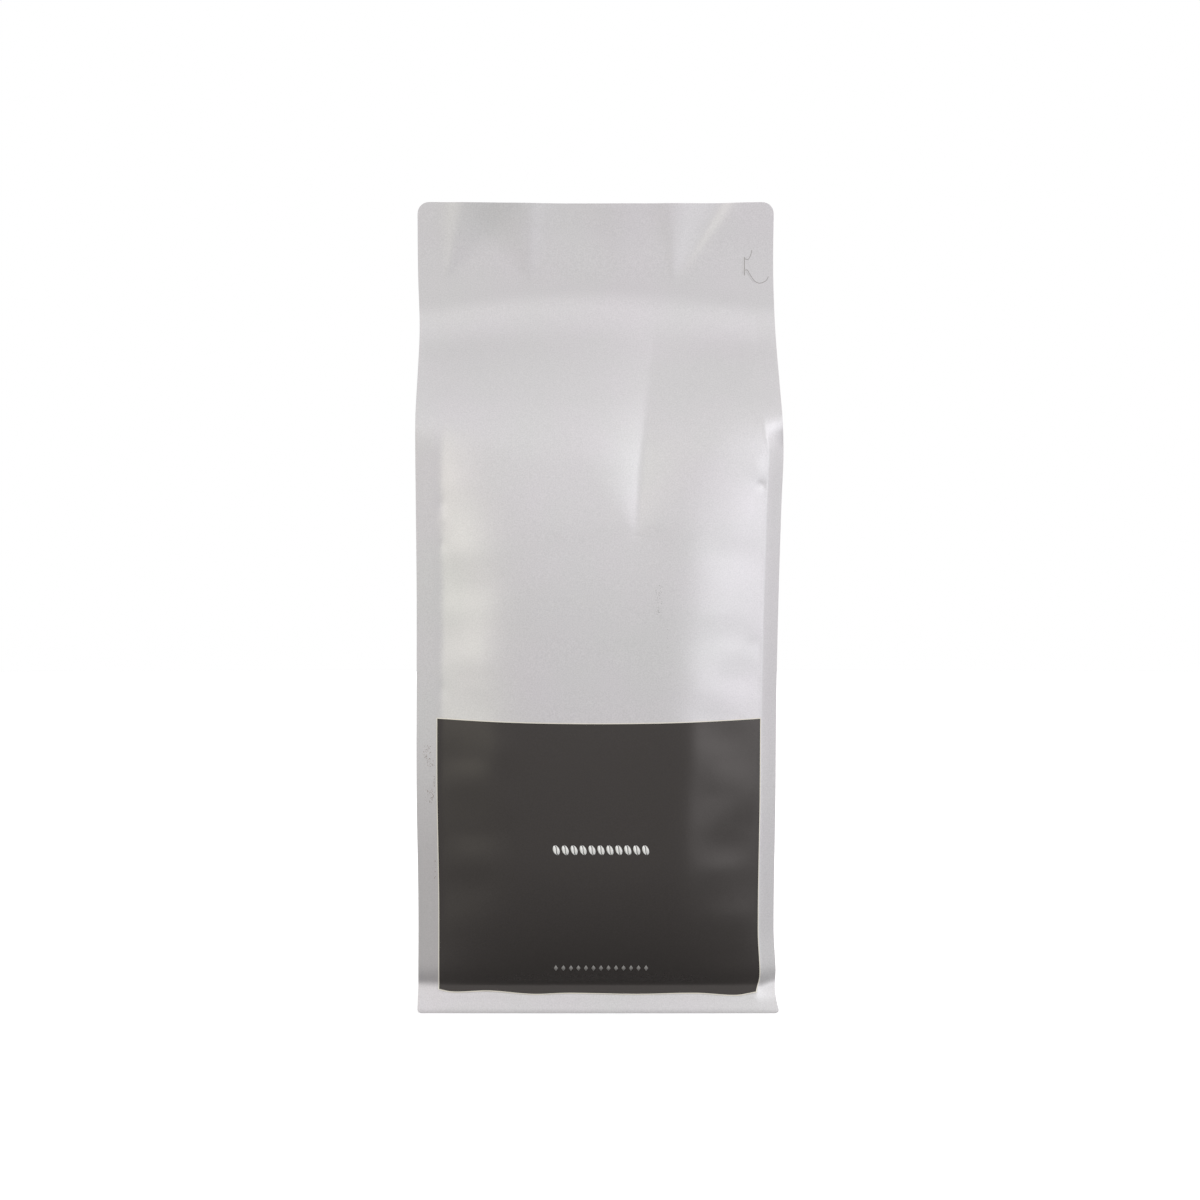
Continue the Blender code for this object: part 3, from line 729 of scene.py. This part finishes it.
def label_stock(name, dark, light, roughness, sheen_level):
    material, tree, shader, fibre = mottled(name, dark, light, PAPER_FIBRE, 3.0, roughness)
    relief = add(tree, "ShaderNodeBump", {"Height": fibre, "Distance": 0.03 * MM, "Strength": 0.6})
    tree.links.new(relief.outputs["Normal"], shader.inputs["Normal"])
    shader.inputs["Specular IOR Level"].default_value = sheen_level
    shader.inputs["Specular Tint"].default_value = srgb("#FFF6F2")
    return material


charcoal_paper = label_stock("charcoal_satin_paper", "#252221", "#2D2A29", 0.25, 0.66)
# The cream rim is partly the paper's core and partly a painted highlight along the edge
cream_core_and_edge_highlight = label_stock("cream_paper_core", "#E6E0D2", "#F2EDE2", 0.8, 0.3)

# %% [markdown]
# ## The label: Geometry Nodes press it on
#
# A sheet that follows a surface is a good job for Geometry Nodes. The tree shoots a ray from each point
# of the flat sheet back onto the pouch, puts the point a hair in front of where it lands, and extrudes
# the sheet to its thickness. Changing the pouch then never leaves the label hanging in the air. The
# print, the tear tab and the dust are pressed on in the same way, so these steps are functions.

# %% Steps of a tree that presses things onto a surface
SAME_POINT = 0.001 * MM


def new_tree(name, inputs):
    """A tree with named inputs; returns it, its inputs' sockets and their identifiers."""
    tree = bpy.data.node_groups.new(name, "GeometryNodeTree")
    for way in ("INPUT", "OUTPUT"):
        tree.interface.new_socket("Geometry", in_out=way, socket_type="NodeSocketGeometry")
    identifiers = {}
    for label, kind in inputs:
        socket = tree.interface.new_socket(label, in_out="INPUT", socket_type="NodeSocket" + kind)
        identifiers[label] = socket.identifier
    return tree, add(tree, "NodeGroupInput").outputs, identifiers


def pressed_back(tree, geometry, surface, gap):
    """Moves points along +Y onto a surface, and gap in front of it along its normal."""
    target = add(tree, "GeometryNodeObjectInfo", {"Object": surface}).outputs["Geometry"]
    backwards = add(tree, "FunctionNodeInputVector", vector=(0, 1, 0)).outputs[0]
    shot = {"Target Geometry": target, "Ray Direction": backwards, "Ray Length": 1.0}
    ray = add(tree, "GeometryNodeRaycast", shot).outputs
    rise = {0: ray["Hit Normal"], "Scale": gap}
    lift = add(tree, "ShaderNodeVectorMath", rise, operation="SCALE").outputs[0]
    both = {0: ray["Hit Position"], 1: lift}
    landed = add(tree, "ShaderNodeVectorMath", both, operation="ADD").outputs[0]
    move = {"Geometry": geometry, "Selection": ray["Is Hit"], "Position": landed}
    return add(tree, "GeometryNodeSetPosition", move).outputs["Geometry"]


def thickened(tree, sheet, thickness):
    """Extrudes a sheet to its thickness and closes its back."""
    outwards = {"Mesh": sheet, "Offset Scale": thickness, "Individual": False}
    front = add(tree, "GeometryNodeExtrudeMesh", outwards, mode="FACES").outputs["Mesh"]
    back = add(tree, "GeometryNodeFlipFaces", {"Mesh": sheet}).outputs["Mesh"]
    both = add(tree, "GeometryNodeJoinGeometry", {"Geometry": [front, back]}).outputs[0]
    closed = add(tree, "GeometryNodeMergeByDistance", {"Geometry": both, "Distance": SAME_POINT})
    return closed.outputs["Geometry"]


def finished(tree, geometry, material):
    """Makes instances real and gives everything its material."""
    real = add(tree, "GeometryNodeRealizeInstances", {"Geometry": geometry}).outputs["Geometry"]
    dressed = add(tree, "GeometryNodeSetMaterial", {"Geometry": real, "Material": material})
    return dressed.outputs["Geometry"]


def applied(thing, tree_and_identifiers, values):
    """Runs a tree on an object and keeps the result as a plain mesh."""
    tree, identifiers = tree_and_identifiers
    modifier = thing.modifiers.new(tree.name, "NODES")
    modifier.node_group = tree
    for label, value in values.items():
        modifier[identifiers[label]] = value
    bpy.context.view_layer.update()
    evaluated = thing.evaluated_get(bpy.context.evaluated_depsgraph_get())
    data = bpy.data.meshes.new_from_object(evaluated)
    data.name = thing.name
    thing.modifiers.clear()
    thing.data = data
    print(thing.name + ":", len(data.polygons), "faces")
    return thing


# %% [markdown]
# ## The label: pressed on
#
# The label's tree is those steps in a row. At its end the sheet is charcoal paper all over, and a
# second Set Material node gives the cream core, with its painted edge highlight, to the faces that the
# attribute marks as cut edge.

# %% Press the label on
LABEL_GAP = 0.08 * MM
LABEL_THICKNESS = 0.22 * MM


def press_tree():
    inputs = [("Surface", "Object"), ("Gap", "Float"), ("Thickness", "Float")]
    inputs += [("Paper", "Material"), ("Core", "Material")]
    tree, given, identifiers = new_tree("press_sheet", inputs)
    sheet = pressed_back(tree, given["Geometry"], given["Surface"], given["Gap"])
    closed = thickened(tree, sheet, given["Thickness"])
    printed = finished(tree, closed, given["Paper"])
    # The marked rim gets the cream: paper core and painted edge highlight
    marked = add(tree, "GeometryNodeInputNamedAttribute", {"Name": CUT_EDGE}, data_type="INT")
    at_edge = marked.outputs["Attribute"]
    core = {"Geometry": printed, "Selection": at_edge, "Material": given["Core"]}
    edged = add(tree, "GeometryNodeSetMaterial", core).outputs["Geometry"]
    add(tree, "NodeGroupOutput", {"Geometry": edged})
    return tree, identifiers


label = finish_mesh("label_paper", flat_label(), [])
pressing = {"Surface": pouch, "Gap": LABEL_GAP, "Thickness": LABEL_THICKNESS}
pressing.update({"Paper": charcoal_paper, "Core": cream_core_and_edge_highlight})
applied(label, press_tree(), pressing)
label.data.shade_smooth()
label.data.set_sharp_from_angle(angle=math.radians(50))
print("label, in mm:", [round(value / MM, 1) for value in label.dimensions])

# %% [markdown]
# ## The print: a row of beans and a row of diamonds
#
# The label is printed with a row of little coffee beans in white ink, and low down with a row of small
# grey diamonds. One mark of each kind is drawn, and Geometry Nodes repeat it along a line and press the
# row onto the label: ink follows the paper.

# %% Print marks
INK_GAP = 0.01 * MM
INK_THICKNESS = 0.04 * MM
PRINT_MIDDLE = 0.8 * MM
ARC_STEPS = 9
BEAN_TILT = math.radians(24)


def bean_mark(width, height, slit):
    """Two halves of an oval with a slanting, curved slit between them, drawn facing -Y."""
    mesh = bmesh.new()
    arc = [math.pi * k / ARC_STEPS for k in range(ARC_STEPS + 1)]
    sine, cosine = math.sin(BEAN_TILT), math.cos(BEAN_TILT)
    for side in (-1, 1):
        half = [(side * width / 2 * math.sin(a), height / 2 * math.cos(a)) for a in arc]
        for a in reversed(arc[1:-1]):
            x = side * slit / 2 + 0.16 * width * math.sin(2 * a)
            half.append((x, height / 2 * 0.97 * math.cos(a)))
        turned = [(x * cosine - z * sine, 0, x * sine + z * cosine) for x, z in half]
        verts = [mesh.verts.new(point) for point in turned]
        mesh.faces.new(verts if side < 0 else verts[::-1])
    return mesh


def diamond_mark(width, height):
    mesh = bmesh.new()
    corners = [(-width / 2, 0), (0, -height / 2), (width / 2, 0), (0, height / 2)]
    mesh.faces.new([mesh.verts.new((x, 0, z)) for x, z in corners])
    return mesh


def row_tree():
    inputs = [("Surface", "Object"), ("Count", "Int"), ("First", "Vector"), ("Pitch", "Vector")]
    inputs += [("Gap", "Float"), ("Thickness", "Float"), ("Ink", "Material")]
    tree, given, identifiers = new_tree("row_of_marks", inputs)
    spots = {"Count": given["Count"], "Start Location": given["First"], "Offset": given["Pitch"]}
    line = add(tree, "GeometryNodeMeshLine", spots).outputs["Mesh"]
    each = {"Points": line, "Instance": given["Geometry"]}
    marks = add(tree, "GeometryNodeInstanceOnPoints", each).outputs["Instances"]
    real = add(tree, "GeometryNodeRealizeInstances", {"Geometry": marks}).outputs["Geometry"]
    pressed = pressed_back(tree, real, given["Surface"], given["Gap"])
    ink = finished(tree, thickened(tree, pressed, given["Thickness"]), given["Ink"])
    add(tree, "NodeGroupOutput", {"Geometry": ink})
    return tree, identifiers


def printing_ink(name, colour):
    """Offset ink: a thin even film of pigment, as dull as the paper under it."""
    material, tree, shader = new_material(name)
    place = add(tree, "ShaderNodeTexCoord").outputs["Object"]
    specks = {"Vector": place, "Scale": 1 / PAPER_FIBRE, "Detail": 2.0}
    speckle = add(tree, "ShaderNodeTexNoise", specks).outputs["Fac"]
    rough = add(tree, "ShaderNodeMapRange", {"Value": speckle, "To Min": 0.5, "To Max": 0.7})
    tree.links.new(rough.outputs["Result"], shader.inputs["Roughness"])
    shader.inputs["Base Color"].default_value = srgb(colour)
    return material


beans = bean_mark(2.5 * MM, 4.1 * MM, 0.3 * MM)
diamonds = diamond_mark(1.7 * MM, 2.5 * MM)
# Each row: name, mark, number of marks, their pitch and height in mm, ink and its colour
ROWS = [
    ("printed_beans", beans, 11, 3.62, 67.2, "white_offset_ink", "#F2F1EF"),
    ("printed_diamonds", diamonds, 13, 3.06, 18.6, "grey_offset_ink", "#8E8C8A"),
]
row = row_tree()
prints = []
for name, mark, count, pitch, height, ink_name, colour in ROWS:
    ink = printing_ink(ink_name, colour)
    start = (PRINT_MIDDLE - pitch * MM * (count - 1) / 2, -DRAWN_IN_FRONT, height * MM)
    values = {"Surface": label, "Count": count, "First": start, "Pitch": (pitch * MM, 0, 0)}
    values.update({"Gap": INK_GAP, "Thickness": INK_THICKNESS, "Ink": ink})
    prints.append(applied(finish_mesh(name, mark, []), row, values))

# %% [markdown]
# ## The tear tab: a fine die-cut line
#
# A die has cut the outline of a small tab through the front film at the upper right: a straight slit
# with a short hook above it, and a long curve below. The cut is a fine dark line, because one looks
# into its shadow, and the film stands up a little along the slit and catches the light. Both are
# lines of points; Geometry Nodes smooth each line, press it onto the film and thicken it.

# %% Lines of the tear tab
# Each line is a list of (x, height) in mm
TAB_CUTS = [
    [(61.2, 312.9), (61.2, 309), (61.2, 305.2)],
    [(61.4, 312.1), (62.8, 311.9), (63.8, 313.7), (64.3, 315.9)],
    [(61.4, 307.3), (62.4, 307.4), (63.7, 305.3), (65.6, 302.7)]
    + [(67.7, 301.9), (70.2, 302.9), (71.3, 304.7)],
]
TAB_LIPS = [[(60.7, 312.7), (60.7, 305.4)], [(62.1, 306.9), (63.3, 304.9), (65.2, 302.3)]]
LINE_STEP = 0.3 * MM


def line_mesh(name, lines):
    """A mesh of edges only: one chain for each line of (x, height) points in millimetres."""
    mesh = bmesh.new()
    for line in lines:
        points = [mesh.verts.new((x * MM, -DRAWN_IN_FRONT, z * MM)) for x, z in line]
        for first, second in zip(points, points[1:]):
            mesh.edges.new((first, second))
    return finish_mesh(name, mesh, [])


def thread_tree():
    inputs = [("Surface", "Object"), ("Gap", "Float"), ("Radius", "Float"), ("Step", "Float")]
    inputs += [("Stuff", "Material")]
    tree, given, identifiers = new_tree("thread_on_surface", inputs)
    chain = add(tree, "GeometryNodeMeshToCurve", {"Mesh": given["Geometry"]}).outputs["Curve"]
    curve = add(tree, "GeometryNodeCurveSplineType", {"Curve": chain}, spline_type="CATMULL_ROM")
    steps = {"Curve": curve.outputs["Curve"], "Length": given["Step"]}
    even = add(tree, "GeometryNodeResampleCurve", steps, mode="LENGTH").outputs["Curve"]
    laid = pressed_back(tree, even, given["Surface"], given["Gap"])
    hexagon = {"Resolution": 6, "Radius": given["Radius"]}
    profile = add(tree, "GeometryNodeCurvePrimitiveCircle", hexagon).outputs["Curve"]
    sweep = {"Curve": laid, "Profile Curve": profile, "Fill Caps": True}
    tube = add(tree, "GeometryNodeCurveToMesh", sweep).outputs["Mesh"]
    add(tree, "NodeGroupOutput", {"Geometry": finished(tree, tube, given["Stuff"])})
    return tree, identifiers


# %% [markdown]
# ## Material: the cut edge of the film, in painted shadow
#
# Cut through, the laminate shows its dull inner layer in shadow, so the cut is a painted shadow: a warm
# grey, uneven along the cut.

# %% Cut edge and tab
# The cut's dark warm grey is painted shadow
cut_in_painted_shadow = mottled("cut_edge_of_film", "#77726E", "#ADA8A4", 1.5 * MM, 2.0, 0.7)[0]
thread = thread_tree()
details = []
for name, lines, radius, stuff in [
    ("tear_tab_cut", TAB_CUTS, 0.11 * MM, cut_in_painted_shadow),
    ("tear_tab_lip", TAB_LIPS, 0.16 * MM, film),
]:
    values = {"Surface": pouch, "Gap": 0.0, "Radius": radius, "Step": LINE_STEP, "Stuff": stuff}
    details.append(applied(line_mesh(name, lines), thread, values))

# %% [markdown]
# ## Coffee dust and scuffs
#
# The bag has been handled: brown coffee dust clings to the left seam and beside the label, and there
# are a few grey scuffs on the front. Each patch is a rectangle over the film, and one tree scatters
# grains over all of them, with a fixed seed, and presses them on. Patches a fraction of a millimetre
# across hold a single grain.

# %% Patches of dust
# Each patch: x and height of its middle, width and height, in mm
COFFEE_PATCHES = [(-70.3, 106.5, 3.2, 5), (-69, 102.3, 3.2, 4.2), (-69.4, 88.4, 2.8, 6)]
COFFEE_PATCHES += [(-68, 89, 1, 5), (-67.3, 92.4, 0.35, 5), (-67.35, 94.4, 0.35, 5)]
COFFEE_PATCHES += [(-67.3, 93.4, 0.3, 7.4), (-66.9, 58.2, 0.5, 8), (-70.4, 43.6, 0.5, 0.5)]
COFFEE_PATCHES += [(-68.2, 68.7, 0.5, 0.5)]
SCUFF_PATCHES = [(24.3, 168.5, 2.8, 12), (27.9, 153.3, 0.4, 10), (23.9, 134, 0.6, 4)]
SCUFF_PATCHES += [(-58.8, 186.6, 1.6, 0.6), (-24.4, 304.1, 0.5, 0.5), (-38.7, 296.9, 0.4, 0.4)]
SCUFF_PATCHES += [(-44.6, 291.7, 0.4, 0.4), (68.8, 327, 0.5, 0.5), (-7.2, 277.3, 0.4, 0.4)]
SCUFF_PATCHES += [(14.6, 194, 0.6, 0.6)]
GRAIN_SHAPE = (1.0, 0.25, 0.7)  # flattened against the film
DUST_SEED = 3
SPIN_SEED = 5


def patch_mesh(name, patches):
    mesh = bmesh.new()
    for x, z, width, height in patches:
        sides = [(-1, -1), (1, -1), (1, 1), (-1, 1)]
        corners = [(x + a * width / 2, z + b * height / 2) for a, b in sides]
        mesh.faces.new([mesh.verts.new((a * MM, -DRAWN_IN_FRONT, b * MM)) for a, b in corners])
    return finish_mesh(name, mesh, [])


def dust_tree():
    inputs = [("Surface", "Object"), ("Density", "Float"), ("Seed", "Int")]
    inputs += [("Smallest", "Float"), ("Largest", "Float"), ("Stuff", "Material")]
    tree, given, identifiers = new_tree("dust_on_surface", inputs)
    scatter = {"Mesh": given["Geometry"], "Density": given["Density"], "Seed": given["Seed"]}
    points = add(tree, "GeometryNodeDistributePointsOnFaces", scatter).outputs["Points"]
    landed = pressed_back(tree, points, given["Surface"], 0.0)
    ball = add(tree, "GeometryNodeMeshIcoSphere", {"Radius": 1.0, "Subdivisions": 1})
    shape = {"Geometry": ball.outputs["Mesh"], "Scale": GRAIN_SHAPE}
    grain = add(tree, "GeometryNodeTransform", shape).outputs["Geometry"]
    sizes = {2: given["Smallest"], 3: given["Largest"], "Seed": given["Seed"]}
    size = add(tree, "FunctionNodeRandomValue", sizes, data_type="FLOAT").outputs[1]
    spins = {0: (0, -3, 0), 1: (0, 3, 0), "Seed": SPIN_SEED}
    spin = add(tree, "FunctionNodeRandomValue", spins, data_type="FLOAT_VECTOR").outputs[0]
    each = {"Points": landed, "Instance": grain, "Rotation": spin, "Scale": size}
    grains = add(tree, "GeometryNodeInstanceOnPoints", each).outputs["Instances"]
    add(tree, "NodeGroupOutput", {"Geometry": finished(tree, grains, given["Stuff"])})
    return tree, identifiers


# %% [markdown]
# ## Materials: ground coffee and grey scuffs
#
# Ground coffee is a matt dark brown that thins to tan where the dust lies thin; the scuffs are graphite
# grey, where the lacquer is rubbed through. Both vary from grain to grain.

# %% Dust, scattered
coffee = mottled("ground_coffee", "#54392C", "#957A6B", 2 * MM, 1.0, 0.85)[0]
wear_and_painted_shade = mottled("rubbed_lacquer", "#6C6967", "#A5A2A0", 2 * MM, 1.0, 0.85)[0]
dust = dust_tree()
# Each scatter: name, patches, grains to a square metre, smallest and largest grain, material
for name, patches, density, smallest, largest, stuff in [
    ("coffee_dust", COFFEE_PATCHES, 2.6e6, 0.05 * MM, 0.2 * MM, coffee),
    ("film_scuffs", SCUFF_PATCHES, 2.0e6, 0.06 * MM, 0.17 * MM, wear_and_painted_shade),
]:
    values = {"Surface": pouch, "Density": density, "Seed": DUST_SEED, "Smallest": smallest}
    values.update({"Largest": largest, "Stuff": stuff})
    details.append(applied(patch_mesh(name, patches), dust, values))

# %% [markdown]
# ## The studio: floor
#
# The bag stands on white vinyl that runs far back. To the camera it has to be as white as the wall
# behind it, as in the photograph, but in the film's reflections it is much darker, as a floor below the
# lamps is: that is what shades the lower half of the bag. A Light Path node tells the two apart.

# %% Floor and backdrop
FLOOR_RADIUS = 6
FLOOR_GREY = 0.42  # what the film sees of the floor
FLOOR_GLOW = 0.42  # lifts it to the wall's white


def studio_floor():
    mesh = bmesh.new()
    bmesh.ops.create_circle(mesh, cap_ends=True, segments=96, radius=FLOOR_RADIUS)
    material, tree, shader = new_material("white_studio_vinyl")
    seen = add(tree, "ShaderNodeLightPath").outputs["Is Camera Ray"]
    shades = {"Factor": seen, "A": (*[FLOOR_GREY] * 3, 1), "B": srgb("#F7F7F7")}
    tone = add(tree, "ShaderNodeMix", shades, data_type="RGBA")
    glow = add(tree, "ShaderNodeMath", {0: seen, 1: FLOOR_GLOW}, operation="MULTIPLY")
    tree.links.new(tone.outputs["Result"], shader.inputs["Base Color"])
    tree.links.new(glow.outputs[0], shader.inputs["Emission Strength"])
    shader.inputs["Roughness"].default_value = 0.7
    shader.inputs["Emission Color"].default_value = (1, 1, 1, 1)
    return finish_mesh("studio_floor", mesh, [material])


floor = studio_floor()

# %% [markdown]
# ## The studio: light
#
# Matte silver shows the room around it, so the room is built for its reflections: an even white wall
# all round, two upright softboxes in front of the bag for the glow on each flank, the right one
# stronger, one on the right for the turned seam, and a small one high up for the valley in the head.

# %% Studio light


def softbox(name, place, aim, size, power, colour):
    data = bpy.data.lights.new(name, "AREA")
    data.shape = "RECTANGLE"
    data.size, data.size_y = size
    data.energy = power
    data.color = colour
    light = bpy.data.objects.new(name, data)
    light.location = place
    light.rotation_euler = (Vector(aim) - Vector(place)).to_track_quat("-Z", "Y").to_euler()
    light.visible_camera = False
    bpy.context.scene.collection.objects.link(light)
    return light


# Each softbox: name, place and aim in metres, width and height, power in watts, colour
softbox("right_softbox", (0.95, -1.2, 0.6), (0, 0, 0.6), (0.45, 1.16), 3.45, (0.93, 0.96, 1.0))
softbox("left_softbox", (-1.05, -1.1, 0.56), (0, 0, 0.5), (0.6, 0.8), 2.25, (0.98, 1.0, 0.78))
softbox("side_softbox", (1.35, -0.35, 0.42), (0, 0, 0.3), (0.4, 0.6), 0.65, (0.98, 0.99, 1.0))
softbox("high_softbox", (0.9, -0.45, 1.4), (0, 0, 0.25), (0.5, 0.5), 1.15, (0.97, 0.98, 1.0))

world = bpy.data.worlds.new("studio_room")
bpy.context.scene.world = world
world.use_nodes = True
room = world.node_tree
background = room.nodes["Background"]
sees_room = add(room, "ShaderNodeLightPath").outputs["Is Camera Ray"]
direction = add(room, "ShaderNodeTexCoord").outputs["Generated"]
up = add(room, "ShaderNodeSeparateXYZ", {"Vector": direction}).outputs["Z"]
wall = add(room, "ShaderNodeMapRange", {"Value": up, "From Max": 0.4, "To Min": 0.966, "To Max": 0.944})
strength = add(room, "ShaderNodeMix", {"Factor": sees_room, "A": wall.outputs["Result"], "B": 1.0})
room.links.new(strength.outputs["Result"], background.inputs["Strength"])
background.inputs["Color"].default_value = (1, 1, 1, 1)
bpy.context.scene.view_settings.view_transform = "Standard"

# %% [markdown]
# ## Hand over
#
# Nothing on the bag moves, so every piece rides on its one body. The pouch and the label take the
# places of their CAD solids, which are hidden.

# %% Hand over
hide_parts("pouch")
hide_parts("label")
finishes = [(pouch, "pouch"), (label, "label"), *[(piece, "label") for piece in prints]]
finishes += [(piece, "pouch") for piece in details]
for piece, finish in finishes:
    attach(piece, "root")
